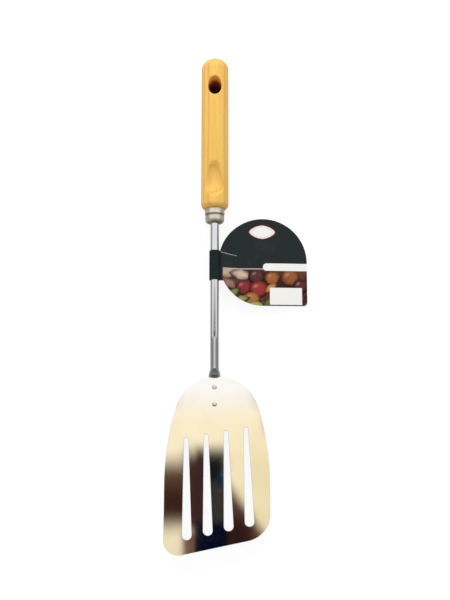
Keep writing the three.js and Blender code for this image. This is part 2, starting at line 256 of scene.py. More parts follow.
def scaled(place, scale):
    """A place stretched along each axis."""
    return node(place.tree, "ShaderNodeMapping", {"Vector": place, "Scale": scale})


def noise(place, scale, detail, **more):
    """Cloudy noise about a half."""
    return node(place.tree, "ShaderNodeTexNoise", {
        "Vector": place, "Scale": scale, "Detail": detail, **more})


def bump(height, strength, distance, **under):
    """Fine relief on a surface."""
    return node(height.tree, "ShaderNodeBump", {
        "Height": height, "Strength": strength, "Distance": distance, **under})


def new_finish(name):
    """A material, its main shader, and the place on the piece itself, so that patterns move with it."""
    finish = bpy.data.materials.new(name)
    finish.use_nodes = True
    tree = finish.node_tree
    return finish, tree.nodes["Principled BSDF"], node(tree, "ShaderNodeTexCoord", out="Object")


def chrome_finish(name, tint, cloud_tint, gloss, ripple, ripple_size, hairline, painted_shade):
    """Chrome plate: faint clouding and smears, slow ripples, hairlines, and painted shade in one place."""
    finish, shader, place = new_finish(name)
    cloud = noise(place, 55, 4)
    smear = noise(place, 140, 6, Roughness=0.65, Distortion=0.6)
    lines = noise(scaled(place, hairline), 1, 3)
    swell = noise(place, 1 / ripple_size, 0.5)

    # Painted shade: an oval of dark colour at the given centre and half size, laid over the plate's own
    # colour.
    centre, half, blotch = painted_shade
    from_painted_shade = length(node(place.tree, "ShaderNodeMapping", {
        "Vector": place, "Location": (*centre, 0), "Scale": (*half, 1)}, vector_type="TEXTURE"))
    colour = tinted(spread(cloud, 0.35, 0.7), tint, cloud_tint)
    colour = tinted(spread(from_painted_shade, 0.55, 1.1, 1.0, 0.0), colour, blotch)
    dull = spread(cloud, 0.3, 0.75, gloss, gloss * 1.5) + spread(smear, 0.52, 0.75, 0.0, gloss * 0.7)
    dull = dull + spread(lines, 0.55, 0.8, 0.0, gloss * 0.5)
    lined = bump(lines, 0.35, 0.0003 * mm, Normal=bump(swell, 1, ripple))
    feed(shader, {"Base Color": colour, "Roughness": dull, "Normal": lined, "Metallic": 1})
    return finish


made = bmesh.new()
skin(made, [shank_ring(*station) for station in shank_stations()], capped=True)
shank = piece_from("chrome_shank", made, 35, chrome_finish(
    "shank_chrome", shank_tint, shank_cloud_tint, gloss=0.05, ripple=0.002 * mm, ripple_size=9 * mm,
    hairline=(900, 14, 900), painted_shade=joint_painted_shade,
))
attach(shank, "spatula")
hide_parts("shank")


# Blade: chrome plated sheet steel, stamped to a broad rounded outline with a slanted front edge.
# Four tapered slots are punched through it, and its edges are tumbled smooth.
blade_thickness = 0.9 * mm
blade_length = 131.06 * mm
blade_width = 77.4 * mm
blade_offset = 2 * mm
heel_inset = 6.8 * mm
heel_margin = 0.5 * mm
widest_from_front = 50.5 * mm
front_slant = radians(11.8)
left_corner = 11 * mm
right_corner = 20 * mm
heel_points = 90
side_points = 40
edge_points = 16
left_corner_points = 30
right_corner_points = 40
slot_points = 56
rim_points = 13
rim_squareness = 0.35
weld_distance = 1e-6
blade_tint = (0.95, 0.945, 0.93)
blade_cloud_tint = (0.92, 0.915, 0.90)
slot_sizes = {
    "Slot count": 4,
    "Slot pitch": 15.15 * mm,
    "Slot length": 74.4 * mm,
    "Slot shortening": 0.6 * mm,
    "Slot heel width": 3.2 * mm,
    "Slot front width": 6.9 * mm,
    "Slot front margin": 10.1 * mm,
    "Slot lean": radians(1.42),
    "Slot fan": radians(0.38),
}


def arc(centre_x, centre_y, radius, start, end, steps):
    """Points on an arc, without its last one."""
    turns = [start + (end - start) * step / steps for step in range(steps)]
    return [(centre_x + radius * cos(turn), centre_y + radius * sin(turn), 0.0) for turn in turns]


def front_edge(x):
    """The straight front edge of the blade: its y at a given x."""
    corner_x = blade_offset - blade_width / 2 + left_corner
    corner_y = left_corner - blade_length
    return corner_y - left_corner / cos(front_slant) + (x - corner_x) * tan(front_slant)


def blade_outline():
    """The stamped outline in the blade's own plane, with the heel's edge at y = 0."""
    half = blade_width / 2
    heel = half - heel_inset
    left = blade_offset - half
    right = blade_offset + half
    widest = widest_from_front - blade_length
    drop = -heel - widest
    side = (half ** 2 + drop ** 2 - heel ** 2) / (2 * heel_inset)
    shoulder = atan2(drop, side - half)
    front_turn = 1.5 * pi + front_slant
    right_x = right - right_corner
    right_y = front_edge(right_x) + right_corner / cos(front_slant)
    left_y = left_corner - blade_length
    return [
        *arc(blade_offset, -heel, heel, shoulder, pi - shoulder, heel_points),
        *arc(left + side, widest, side, pi - shoulder, pi, side_points),
        *[(left, widest + (left_y - widest) * n / edge_points, 0.0) for n in range(edge_points)],
        *arc(left + left_corner, left_y, left_corner, pi, front_turn, left_corner_points),
        *arc(right_x, right_y, right_corner, front_turn, 2 * pi, right_corner_points),
        *arc(right - side, widest, side, 0, shoulder, side_points),
    ]


def sized_tree(name, sizes):
    """A geometry tree with one named input for each size, those inputs and its last node."""
    tree = bpy.data.node_groups.new(name, "GeometryNodeTree")
    for way in ("OUTPUT", "INPUT"):
        tree.interface.new_socket("Geometry", in_out=way, socket_type="NodeSocketGeometry")
    kinds = {int: "NodeSocketInt", float: "NodeSocketFloat"}
    for label, value in sizes.items():
        kind = kinds.get(type(value), "NodeSocketMaterial")
        tree.interface.new_socket(label, in_out="INPUT", socket_type=kind)
    entry = tree.nodes.new("NodeGroupInput")
    size = {output.name: Term(tree, output) for output in entry.outputs}
    return tree, size, tree.nodes.new("NodeGroupOutput")


def joined(tree, shapes):
    """Several shapes as one."""
    made = tree.nodes.new("GeometryNodeJoinGeometry")
    for shape in shapes:
        feed(made, {0: shape})
    return Term(tree, made.outputs[0])


def plated(shape, size, result):
    """Ends a tree with a shape that wears its finish."""
    plain = node(shape.tree, "GeometryNodeRealizeInstances", {"Geometry": shape})
    feed(result, {0: node(shape.tree, "GeometryNodeSetMaterial", {
        "Geometry": plain, "Material": size["Finish"]})})


def made_by_nodes(name, mesh, tree, sizes, place):
    """Runs a tree on a mesh, keeps the result as a plain mesh and moves it to its place."""
    drawn = placed(name, mesh)
    nodes = drawn.modifiers.new("nodes", "NODES")
    nodes.node_group = tree
    for socket in tree.interface.items_tree:
        if socket.in_out == "INPUT" and socket.name in sizes:
            nodes[socket.identifier] = sizes[socket.name]
    evaluated = drawn.evaluated_get(bpy.context.evaluated_depsgraph_get())
    plain = bpy.data.meshes.new_from_object(evaluated)
    drawn.modifiers.remove(nodes)
    drawn.data = plain
    plain.transform(place)
    closed = bmesh.new()
    closed.from_mesh(plain)
    bmesh.ops.recalc_face_normals(closed, faces=closed.faces)
    closed.to_mesh(plain)
    closed.free()
    return drawn


def axes(place):
    """The x, y and z of a place."""
    parts = node(place.tree, "ShaderNodeSeparateXYZ", {"Vector": place}).socket.node.outputs
    return [Term(place.tree, part) for part in parts]


def vector(tree, **parts):
    """A place from its x, y and z."""
    return node(tree, "ShaderNodeCombineXYZ", parts)


def slotted_tree(sizes):
    """Punches a row of slots in a drawn outline, gives the sheet its thickness and rounds every edge."""
    tree, size, result = sized_tree("slotted_blade", sizes)
    index = node(tree, "GeometryNodeInputIndex")
    normal = node(tree, "GeometryNodeInputNormal")

    heel_round = size["Slot heel width"] * 0.5
    front_round = size["Slot front width"] * 0.5
    reach = size["Slot length"] - (heel_round + front_round)
    circle = node(tree, "GeometryNodeCurvePrimitiveCircle", {"Resolution": slot_points, "Radius": 1})
    circle_x, circle_y = axes(node(tree, "GeometryNodeInputPosition"))[:2]
    at_heel = calc("GREATER_THAN", circle_y, 0.001)
    end_round = at_heel * (heel_round - front_round) + front_round
    slot_shape = node(tree, "GeometryNodeSetPosition", {
        "Geometry": circle,
        "Position": vector(tree, X=circle_x * end_round, Y=at_heel * reach + circle_y * end_round),
    })

    step = index - (size["Slot count"] - 1) * 0.5
    front_x = step * size["Slot pitch"] + size["Row centre"]
    front_line = front_x * calc("TANGENT", size["Front slant"]) + size["Front line"]
    front_y = front_line + (size["Slot front margin"] + front_round)
    shorter = index * size["Slot shortening"] / size["Slot length"]
    row = node(tree, "GeometryNodeSetPosition", {
        "Geometry": node(tree, "GeometryNodeMeshLine", {"Count": size["Slot count"]}),
        "Position": vector(tree, X=front_x, Y=front_y),
    })
    punched = node(tree, "GeometryNodeInstanceOnPoints", {
        "Points": row,
        "Instance": slot_shape,
        "Rotation": vector(tree, Z=step * size["Slot fan"] + size["Slot lean"]),
        "Scale": vector(tree, X=1, Y=1 - shorter, Z=1),
    })
    slots = node(tree, "GeometryNodeRealizeInstances", {"Geometry": punched})
    outline = node(tree, "GeometryNodeMeshToCurve", {"Mesh": size["Geometry"]})

    turn = index / (rim_points - 1) * pi
    cosine = calc("COSINE", turn)
    level = calc("SIGN", cosine) * abs(cosine) ** rim_squareness
    drop = (level - 1) * (size["Thickness"] * 0.5)
    sine = calc("MAXIMUM", calc("SINE", turn), 0)
    inward = size["Edge round"] * (1 - sine ** rim_squareness)
    caps, rims = [], []
    for loops, inside in ((outline, -1), (slots, 1)):
        upright = node(tree, "GeometryNodeSetCurveNormal", {"Curve": loops}, mode="Z_UP")
        inset = node(tree, "ShaderNodeVectorMath", {
            "Vector": normal, "Scale": size["Edge round"] * inside}, operation="SCALE")
        caps.append(node(tree, "GeometryNodeSetPosition", {"Geometry": upright, "Offset": inset}))
        rim_line = node(tree, "GeometryNodeMeshLine", {"Count": rim_points})
        rim_shape = node(tree, "GeometryNodeSetPosition", {
            "Geometry": node(tree, "GeometryNodeMeshToCurve", {"Mesh": rim_line}),
            "Position": vector(tree, X=inward * inside, Y=drop),
        })
        rims.append(node(tree, "GeometryNodeCurveToMesh", {"Curve": upright, "Profile Curve": rim_shape}))

    under = node(tree, "GeometryNodeFillCurve", {"Curve": joined(tree, caps)})
    upper = node(tree, "GeometryNodeTransform", {
        "Geometry": under, "Translation": vector(tree, Z=size["Thickness"])})
    sides = ((under, False), (upper, False), *((rim, True) for rim in rims))
    whole = joined(tree, [node(tree, "GeometryNodeSetShadeSmooth", {
        "Geometry": side, "Shade Smooth": smooth}) for side, smooth in sides])
    welded = node(tree, "GeometryNodeMergeByDistance", {"Geometry": whole, "Distance": weld_distance})
    plated(welded, size, result)
    return tree


blade_sizes = {
    **slot_sizes,
    "Row centre": blade_offset + slot_sizes["Slot length"] / 2 * sin(slot_sizes["Slot lean"]),
    "Front line": front_edge(0),
    "Front slant": front_slant,
    "Thickness": blade_thickness,
    "Edge round": 0.16 * mm,
    "Finish": chrome_finish(
        "blade_chrome", blade_tint, blade_cloud_tint, gloss=0.03, ripple=0.016 * mm, ripple_size=30 * mm,
        hairline=(900, 22, 900), painted_shade=joint_painted_shade),
}
outline_points = blade_outline()
outline_mesh = bpy.data.meshes.new("blade_outline")
outline_mesh.from_pydata(
    outline_points, [(n, (n + 1) % len(outline_points)) for n in range(len(outline_points))], [])
heel_place = (
    Matrix.Translation((axis_x, tail_start, heel_bend * (1 - cos(blade_rise))))
    @ Matrix.Rotation(-blade_rise, 4, "X")
)
blade_place = heel_place @ Matrix.Translation((0, -heel_margin, tail_thickness))
blade = made_by_nodes("chrome_blade", outline_mesh, slotted_tree(blade_sizes), blade_sizes, blade_place)
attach(blade, "spatula")
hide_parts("blade")


# Rivets: two plated steel rivets, with low domed heads on the blade. They were set from above, and
# their feet are spread flush into the underside of the pressed tube.
rivet_sizes = {
    "Rivet count": 2,
    "Rivet pitch": 12.8 * mm,
}
rivet_stem = 1.5 * mm
rivet_head = 2.0 * mm
rivet_rise = 0.32 * mm
rivet_lip = 0.12 * mm
rivet_lip_round = 0.05 * mm
rivet_foot = 2.2 * mm
rivet_foot_depth = 0.8 * mm
rivet_flush = 0.08 * mm
rivet_from_heel = 7.8 * mm
rivet_points = 40
dome_steps = 11
rivet_tint = (0.98, 0.955, 0.88)
rivet_cloud_tint = (0.93, 0.90, 0.81)
front_rivet_y = tail_start - heel_margin - rivet_from_heel - rivet_sizes["Rivet pitch"]
# Painted shade: a dark patch on the front rivet's head, on its side toward the blade's front, standing in
# for a dark reflection there.
rivet_painted_shade_centre = (axis_x - 0.2 * mm, front_rivet_y - 1.6 * mm)
rivet_painted_shade_half = (1.9 * mm, 0.9 * mm)
rivet_painted_shade_tint = (0.17, 0.13, 0.075)
rivet_painted_shade = (rivet_painted_shade_centre, rivet_painted_shade_half, rivet_painted_shade_tint)


def turned_rings(profile, points, upright=False):
    """Rings about the y axis, or the z axis if upright, from pairs of radius and distance along it."""
    rings = []
    for radius, along in profile:
        ring = []
        for number in range(points):
            turn = 2 * pi * number / points
            across, up = radius * sin(turn), radius * cos(turn)
            ring.append(Vector((across, up, along) if upright else (across, along, up)))
        rings.append(ring)
    return rings


def rivet_mesh():
    """One rivet, its axis upright: flush foot, stem and domed head with a soft lip."""
    seat = tail_thickness + blade_thickness
    profile = [(rivet_foot * 0.4, rivet_flush), (rivet_foot, rivet_flush), (rivet_stem, rivet_foot_depth)]
    profile += [(rivet_stem, seat), (rivet_head - rivet_lip_round, seat), (rivet_head, seat + rivet_lip / 2)]
    for step in range(dome_steps):
        turn = pi / 2 * step / dome_steps
        up = seat + rivet_lip + (rivet_rise - rivet_lip) * sin(turn)
        profile.append((rivet_head * sqrt(cos(turn)), up))
    made = bmesh.new()
    skin(made, turned_rings(profile, rivet_points, upright=True), capped=True)
    return mesh_from("rivet", made, 40)


def rivet_tree(sizes):
    """Sets a row of rivets, from the first one toward the blade's front."""
    tree, size, result = sized_tree("rivet_row", sizes)
    step = vector(tree, Y=size["Rivet pitch"] * -1)
    row = node(tree, "GeometryNodeMeshLine", {"Count": size["Rivet count"], "Offset": step})
    rivets = node(tree, "GeometryNodeInstanceOnPoints", {"Points": row, "Instance": size["Geometry"]})
    plated(rivets, size, result)
    return tree


rivet_sizes["Finish"] = chrome_finish(
    "rivet_metal", rivet_tint, rivet_cloud_tint, gloss=0.2, ripple=0.003 * mm, ripple_size=1.2 * mm,
    hairline=(700, 700, 700), painted_shade=rivet_painted_shade)
rivet_place = heel_place @ Matrix.Translation((0, -heel_margin - rivet_from_heel, 0))
rivets = made_by_nodes("rivet_pair", rivet_mesh(), rivet_tree(rivet_sizes), rivet_sizes, rivet_place)
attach(rivets, "spatula")
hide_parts("rivet_heel", "rivet_front")


# Ferrule: a thin drawn cap of nickel plated steel. It is pushed over the handle's tenon, a groove is
# rolled into it so that it grips the wood, and its nose is domed down to the shank.
ferrule_radius = 7.5 * mm
ferrule_front_radius = 7.22 * mm
ferrule_wall = 0.6 * mm
ferrule_gap = 0.2 * mm
ferrule_points = 96
ferrule_rim_round = 0.12 * mm
ferrule_rim_length = 0.2 * mm
nose_clearance = 0.1 * mm
groove_from_shoulder = 5.2 * mm
groove_width = 1.5 * mm
groove_depth = 0.5 * mm
groove_squareness = 0.8
groove_steps = 14
nose_length = 2.5 * mm
nose_squareness = 0.75
nose_steps = 18
nickel_tint = (0.84, 0.755, 0.67)
nickel_cloud_tint = (0.72, 0.65, 0.555)
# Painted reflection: a warm yellow tint over the cap's lower band.
painted_warm_reflection_tint = (0.80, 0.77, 0.50)
# Painted shade: a warm dark brown in the rolled groove.
groove_painted_shade = (0.20, 0.16, 0.11)
# Painted shade: a dark grey at the nose, where it faces away from the light and meets the shank.
nose_painted_shade = (0.16, 0.165, 0.17)
shoulder_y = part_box("ferrule")[1].y + ferrule_gap
grip_axis = Vector((axis_x, shoulder_y, axis_z))


def ferrule_skin(inset):
    """One skin of the cap, from the shoulder to the nose: radius, and y from the shoulder."""
    back, front = ferrule_radius - inset, ferrule_front_radius - inset
    hole = tube_radius + nose_clearance
    tip = nose_y - shoulder_y + inset
    nose_start = nose_y - shoulder_y + nose_length
    skin_line = [(back - ferrule_rim_round, -ferrule_gap), (back, -ferrule_gap - ferrule_rim_length)]
    for step in range(groove_steps + 1):
        turn = pi * step / groove_steps
        base = back + (front - back) * step / groove_steps
        along = groove_width / 2 * cos(turn) - groove_from_shoulder
        skin_line.append((base - groove_depth * sin(turn) ** groove_squareness, along))
    for step in range(nose_steps + 1):
        turn = pi / 2 * step / nose_steps
        radius = front - (front - hole) * (1 - abs(cos(turn)) ** nose_squareness)
        skin_line.append((radius, nose_start + (tip - nose_start) * sin(turn)))
    return skin_line


def nickel_finish():
    """Nickel plate: rolled lines round the cap, warm painted shade in the groove, painted shade at the nose,
    a painted warm reflection over the lower band, and fine handling marks.
    """
    finish, shader, place = new_finish("ferrule_nickel")
    rolled = noise(scaled(place, (60, 5200, 60)), 1, 3)
    blotch = noise(place, 260, 5, Roughness=0.6)
    down = axes(place)[1]
    groove_y = shoulder_y - groove_from_shoulder
    # Painted warm reflection: the lower band, from the groove down to the nose, tinted yellow in patches.
    painted_warm_reflection = spread(down, groove_y - 0.8 * mm, groove_y, 1.0, 0.0) * spread(blotch, 0.35, 0.6, 0.1, 0.8)
    # Painted shade along the rolled groove.
    painted_shade = spread(abs(down - groove_y), 0.3 * mm, 1.1 * mm, 0.75, 0.0)
    # Painted shade over the last 1.6 mm of the nose.
    painted_nose_shade = spread(down, nose_y, nose_y + 1.6 * mm, 0.75, 0.0)
    colour = tinted(spread(blotch, 0.42, 0.72), nickel_tint, nickel_cloud_tint)
    colour = tinted(painted_warm_reflection, colour, painted_warm_reflection_tint)
    colour = tinted(painted_shade, colour, groove_painted_shade)
    colour = tinted(painted_nose_shade, colour, nose_painted_shade)
    dull = spread(rolled, 0.35, 0.7, 0.34, 0.46) + spread(blotch, 0.5, 0.75, 0.0, 0.12)
    lined = bump(rolled, 0.4, 0.004 * mm)
    feed(shader, {"Base Color": colour, "Roughness": dull, "Normal": lined, "Metallic": 1})
    return finish


made = bmesh.new()
cap_profile = ferrule_skin(0) + ferrule_skin(ferrule_wall)[::-1]
skin(made, turned_rings(cap_profile, ferrule_points), looped=True)
bmesh.ops.translate(made, verts=made.verts, vec=grip_axis)
ferrule = piece_from("nickel_ferrule", made, 50, nickel_finish())
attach(ferrule, "spatula")
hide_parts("ferrule")


# Handle: one turned length of pale hardwood, varnished a honey colour. A sloping oval hanging hole is
# bored near the domed butt, a thumb scoop is milled near the shoulder, and a tenon fills the ferrule.
handle_radius = axis_z
handle_length = handle_high.y - shoulder_y
handle_points = 128
butt_round = 8.5 * mm
butt_steps = 24
shoulder_round = 4 * mm
shoulder_steps = 14
row_spacing = 0.6 * mm
hole_half_width = 5.2 * mm
hole_half_length = 7.4 * mm
hole_from_butt = 24.4 * mm
hole_slope = radians(14)
hole_lip = 0.6 * mm
mouth_steps = 7
lip_steps = 6
wall_steps = 16
mouth_depth = 0.02
foot_depth = 0.3
foot_fade = 9
scoop_length = 28.7 * mm
scoop_width = 14 * mm
scoop_arch_width = 8 * mm
scoop_arch_length = 4 * mm
scoop_tail_length = 9.5 * mm
scoop_tail_squareness = 0.62
scoop_depth = 3.9 * mm
scoop_least_hollow = 0.15 * mm
scoop_from_shoulder = 7.3 * mm
scoop_lift = 1.5 * mm
scoop_softness = 0.14 * mm
tenon_radius = 6.2 * mm
tenon_end = handle_low.y - shoulder_y
bore_radius = 3.3 * mm
bore_end = 55.2 * mm
pith_offset = (6.2 * mm, 38 * mm)
pith_lean = 0.012
ring_width = 3.1 * mm
ring_start = 0.9 * mm
ring_wander = 2 * mm
honey = (0.88, 0.51, 0.105)
pale_honey = (0.93, 0.585, 0.145)
late_wood = (0.70, 0.335, 0.055)
pore_brown = (0.50, 0.24, 0.055)
shoulder_painted_shade = (0.50, 0.23, 0.05)
bored_wood = (0.92, 0.42, 0.08)
# Painted shade in the hanging hole, darker with depth:
hole_painted_shade = (0.30, 0.045, 0.025)
hole_painted_deep_shade = (0.11, 0.016, 0.030)

crown_y = handle_length - hole_from_butt
hole_run = 2 * handle_radius * tan(hole_slope)
rows_in_run = 8
row_pitch = hole_run / rows_in_run
patch_columns = 36
patch_rows = 36


def scoop_cut(turn, along):
    """Distance from the axis to the scoop's hollow in one direction, or None where it isn't cut."""
    start = along - scoop_from_shoulder
    if not 0 < start < scoop_length or abs(turn) > 1:
        return None
    left = scoop_length - start
    widening = min(1, left / (scoop_length - scoop_tail_length))
    arch = sqrt(1 - max(0, 1 - left / scoop_arch_length) ** 2)
    tail = (1 - max(0, 1 - start / scoop_tail_length) ** 2) ** scoop_tail_squareness
    half = (scoop_arch_width + (scoop_width - scoop_arch_width) * widening) / 2 * arch * tail
    edge = sqrt(handle_radius ** 2 - half ** 2)
    floor = scoop_depth * (1 - (2 * start / scoop_length - 1) ** 2)
    floor = max(floor, handle_radius - edge + scoop_least_hollow * arch * tail)
    centre = handle_radius + scoop_lift
    deep = floor + scoop_lift
    wide = half / sqrt(1 - ((edge - centre) / deep) ** 2)
    a = (sin(turn) / wide) ** 2 + (cos(turn) / deep) ** 2
    b = -2 * cos(turn) * centre / deep ** 2
    c = (centre / deep) ** 2 - 1
    inside = b * b - 4 * a * c
    return None if inside < 0 else (-b - sqrt(inside)) / (2 * a)


def grip_point(turn, along, radius):
    """A point on the handle, by its turn from the crown, its y from the shoulder and its radius."""
    wrapped = atan2(sin(turn), cos(turn))
    hollow = scoop_cut(wrapped, along)
    if hollow is not None:
        radius = soft_min(radius, hollow, scoop_softness)
    return Vector((radius * sin(turn), along, radius * cos(turn)))


def grip_profile():
    """Radius and y of each row of the handle's outside, from the shoulder to the butt."""
    rows = []
    for step in range(shoulder_steps + 1):
        turn = pi / 2 * (1 - step / shoulder_steps)
        radius = handle_radius - (handle_radius - ferrule_radius) * (1 - cos(turn))
        rows.append((radius, shoulder_round * (1 - sin(turn))))
    straight_end = handle_length - butt_round
    below = crown_y - hole_run - row_pitch * patch_rows / 2
    fine = int((below - shoulder_round) / row_spacing)
    rows += [(handle_radius, shoulder_round + (below - shoulder_round) * n / fine) for n in range(1, fine)]
    count = int((straight_end - below) / row_pitch)
    rows += [(handle_radius, below + row_pitch * n) for n in range(count + 1)]
    for step in range(butt_steps):
        turn = pi / 2 * step / butt_steps
        radius = handle_radius - butt_round * (1 - cos(turn))
        rows.append((radius, straight_end + butt_round * sin(turn)))
    return [*rows, (handle_radius - butt_round, handle_length)]


def hole_point(turn, wider, side):
    """Where a line down the hole's wall, moved out by some width, meets the handle's round: side 1 is up."""
    across = (hole_half_width + wider) * cos(turn)
    forth = (hole_half_length + wider) * sin(turn)
    up = side * sqrt(handle_radius ** 2 - across ** 2)
    start_y = crown_y + forth * cos(hole_slope)
    start_z = handle_radius - forth * sin(hole_slope)
    return Vector((across, start_y + (up - start_z) * tan(hole_slope), up))


def wood_finish():
    """Varnished hardwood: growth rings about a pith outside the handle, fibres and pores, and painted shade
    at the shoulder by the ferrule.
    """
    finish, shader, place = new_finish("handle_wood")
    centred = node(place.tree, "ShaderNodeMapping", {
        "Vector": place, "Location": (-axis_x, -shoulder_y, -axis_z)})
    wander = noise(scaled(centred, (110, 7, 110)), 1, 2, Distortion=0.4)
    fibre = noise(scaled(centred, (1500, 36, 1500)), 1, 4, Roughness=0.6)
    pore = noise(scaled(centred, (2600, 190, 2600)), 1, 1)

    x, y, z = axes(centred)
    from_pith = length(vector(x.tree, X=x + pith_offset[0], Y=y * pith_lean, Z=z + pith_offset[1]))
    ring = from_pith + (wander * ring_wander + ring_start)
    phase = calc("FRACT", ring / ring_width)
    late = spread(phase, 0.45, 0.86) * spread(phase, 0.88, 1.0, 1.0, 0.0)
    colour = tinted(spread(wander, 0.35, 0.68), pale_honey, honey)
    colour = tinted(late * 0.5, colour, late_wood)
    colour = tinted(spread(fibre, 0.42, 0.74, 0.0, 0.34), colour, late_wood)
    colour = tinted(spread(pore, 0.66, 0.76, 0.0, 0.4), colour, pore_brown)
    # Painted shade: browner over the first few millimetres of the shoulder, next to the ferrule.
    colour = tinted(spread(y, 0.2 * mm, 3.6 * mm, 0.1, 0.0), colour, shoulder_painted_shade)
    feed(shader, {
        "Base Color": colour, "Roughness": spread(fibre, 0.3, 0.75, 0.42, 0.56),
        "Normal": bump(fibre, 0.35, 0.03 * mm), "Specular IOR Level": 0.3,
        "Coat Weight": 0.07, "Coat Roughness": 0.3,
    })
    return finish


def bored_finish():
    """Bare wood in the hole: honey at the mouth, orange-brown just inside, then painted shade, darker with
    depth.
    """
    finish, shader, place = new_finish("hole_wood")
    torn = noise(place, 700, 4)
    depth = node(place.tree, "ShaderNodeAttribute", out="Fac", attribute_name="hole_depth")
    depth = (torn - 0.5) * 0.12 + depth
    colour = tinted(spread(depth, 0.0, 0.1), honey, bored_wood)
    colour = tinted(spread(depth, 0.16, 0.48), colour, hole_painted_shade)
    colour = tinted(spread(depth, 0.45, 0.8), colour, hole_painted_deep_shade)
    feed(shader, {
        "Base Color": colour, "Roughness": spread(torn, 0.3, 0.7, 0.65, 0.85),
        "Normal": bump(torn, 0.5, 0.1 * mm), "Specular IOR Level": 0.1,
    })
    return finish


made = bmesh.new()
depth_layer = made.verts.layers.float.new("hole_depth")
profile = grip_profile()
turns = [2 * pi * n / handle_points for n in range(handle_points)]
grid = [[made.verts.new(grip_point(turn, along, radius)) for turn in turns] for radius, along in profile]

wall_direction = Vector((0, sin(hole_slope), cos(hole_slope)))
left_out = set()
mouths = {}
for side in (1, -1):
    centre_y = crown_y if side == 1 else crown_y - hole_run
    middle_row = min(range(len(profile)), key=lambda n: abs(profile[n][1] - centre_y))
    low, high = middle_row - patch_rows // 2, middle_row + patch_rows // 2
    half = patch_columns // 2
    columns = [
        (n if side == 1 else handle_points // 2 - n) % handle_points for n in range(-half, half + 1)]
    for row in range(low, high):
        for number in range(2 * half):
            left_out.add((row, frozenset((columns[number], columns[number + 1]))))
    loop = [(low, c) for c in columns[:-1]] + [(r, columns[-1]) for r in range(low, high)]
    loop += [(high, c) for c in columns[:0:-1]] + [(r, columns[0]) for r in range(high, low, -1)]
    border = [grid[row][column] for row, column in loop]
    rings = [border]
    facing = [
        atan2((vert.co.y - centre_y) / hole_half_length, vert.co.x / hole_half_width)
        for vert in border
    ]
    for step in range(1, mouth_steps + 1):
        share = step / mouth_steps
        share = share * (2 - share)
        ring = []
        for vert, turn in zip(border, facing):
            lip = hole_point(turn, hole_lip, side)
            x = vert.co.x + (lip.x - vert.co.x) * share
            y = vert.co.y + (lip.y - vert.co.y) * share
            ring.append(made.verts.new((x, y, side * sqrt(handle_radius ** 2 - x * x))))
        rings.append(ring)
    for step in range(1, lip_steps + 1):
        turn = pi / 2 * step / lip_steps
        sunk = wall_direction * hole_lip * (1 - cos(turn)) * side
        wider = hole_lip * (1 - sin(turn))
        rings.append([made.verts.new(hole_point(way, wider, side) - sunk) for way in facing])
    mouths[side] = rings

for row in range(len(profile) - 1):
    for column in range(handle_points):
        after = (column + 1) % handle_points
        if (row, frozenset((column, after))) not in left_out:
            made.faces.new((
                grid[row][column], grid[row][after], grid[row + 1][after], grid[row + 1][column]))

upper, lower = mouths[1][-1], mouths[-1][-1]
wall = [upper]
for step in range(1, wall_steps):
    wall.append([made.verts.new(a.co.lerp(b.co, step / wall_steps)) for a, b in zip(upper, lower)])
wall.append(lower)
# The hole_depth attribute sets the painted shade: nothing on the lips, rising down the wall, and easing back
# to a little at its foot.
for step, ring in enumerate(wall):
    share = step / wall_steps
    for vert in ring:
        vert[depth_layer] = min(mouth_depth + share, foot_depth + foot_fade * (1 - share))
for rings in (mouths[1], mouths[-1], wall):
    for ring, following in zip(rings, rings[1:]):
        for face in bridge(made, ring, following):
            face.material_index = int(all(vert[depth_layer] > 0 for vert in face.verts))

made.faces.new(grid[-1])
hidden = [(tenon_radius, 0), (tenon_radius, tenon_end), (bore_radius, tenon_end), (bore_radius, bore_end)]
hidden_rows = skin(made, turned_rings(hidden, handle_points))
bridge(made, grid[0], hidden_rows[0])
made.faces.new(hidden_rows[-1])
bmesh.ops.translate(made, verts=made.verts, vec=grip_axis)
handle = piece_from("wood_handle", made, 40, wood_finish(), bored_finish())
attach(handle, "spatula")
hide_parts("handle")


# Hang tag strap: the tag's own strip of black printed card, rolled into a loop round the shank.
# It is loose on the tube, so it slides along it.
card_thickness = 0.5 * mm
strap_looseness = 0.4 * mm
strap_inside = tube_radius + strap_looseness
strap_outside = strap_inside + card_thickness
strap_edge = 0.12 * mm
strap_points = 80
strap_low, strap_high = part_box("tag_strap")
strap_middle = (strap_low.y + strap_high.y) / 2
ink_black = (0.010, 0.017, 0.018)
ink_worn = (0.030, 0.038, 0.038)


def card_texture(shader, place):
    """What all the card has: a fibrous surface under a thin varnish. Gives its fibres and handling marks."""
    fibres = noise(place, 900, 6, Roughness=0.7)
    handled = noise(place, 75, 3)
    feed(shader, {
        "Normal": bump(fibres, 0.3, 0.02 * mm), "Specular IOR Level": 0.15,
        "Roughness": spread(fibres, 0.3, 0.7, 0.5, 0.6) + spread(handled, 0.4, 0.7, 0.0, 0.1),
    })
    return fibres, handled


def black_card_finish():
    """Card printed solid black, a little greyer where it has been handled and along its edges."""
    finish, shader, place = new_finish("strap_black")
    fibres, handled = card_texture(shader, place)
    from_edge = (strap_high.y - strap_low.y) / 2 - abs(axes(place)[1] - strap_middle)
    worn = spread(from_edge, 0.0, 0.8 * mm, 1.0, 0.0) * spread(fibres, 0.35, 0.65, 0.2, 1.0)
    worn = calc("MAXIMUM", worn, spread(handled, 0.5, 0.8, 0.0, 0.5))
    feed(shader, {"Base Color": tinted(worn, ink_black, ink_worn)})
    return finish


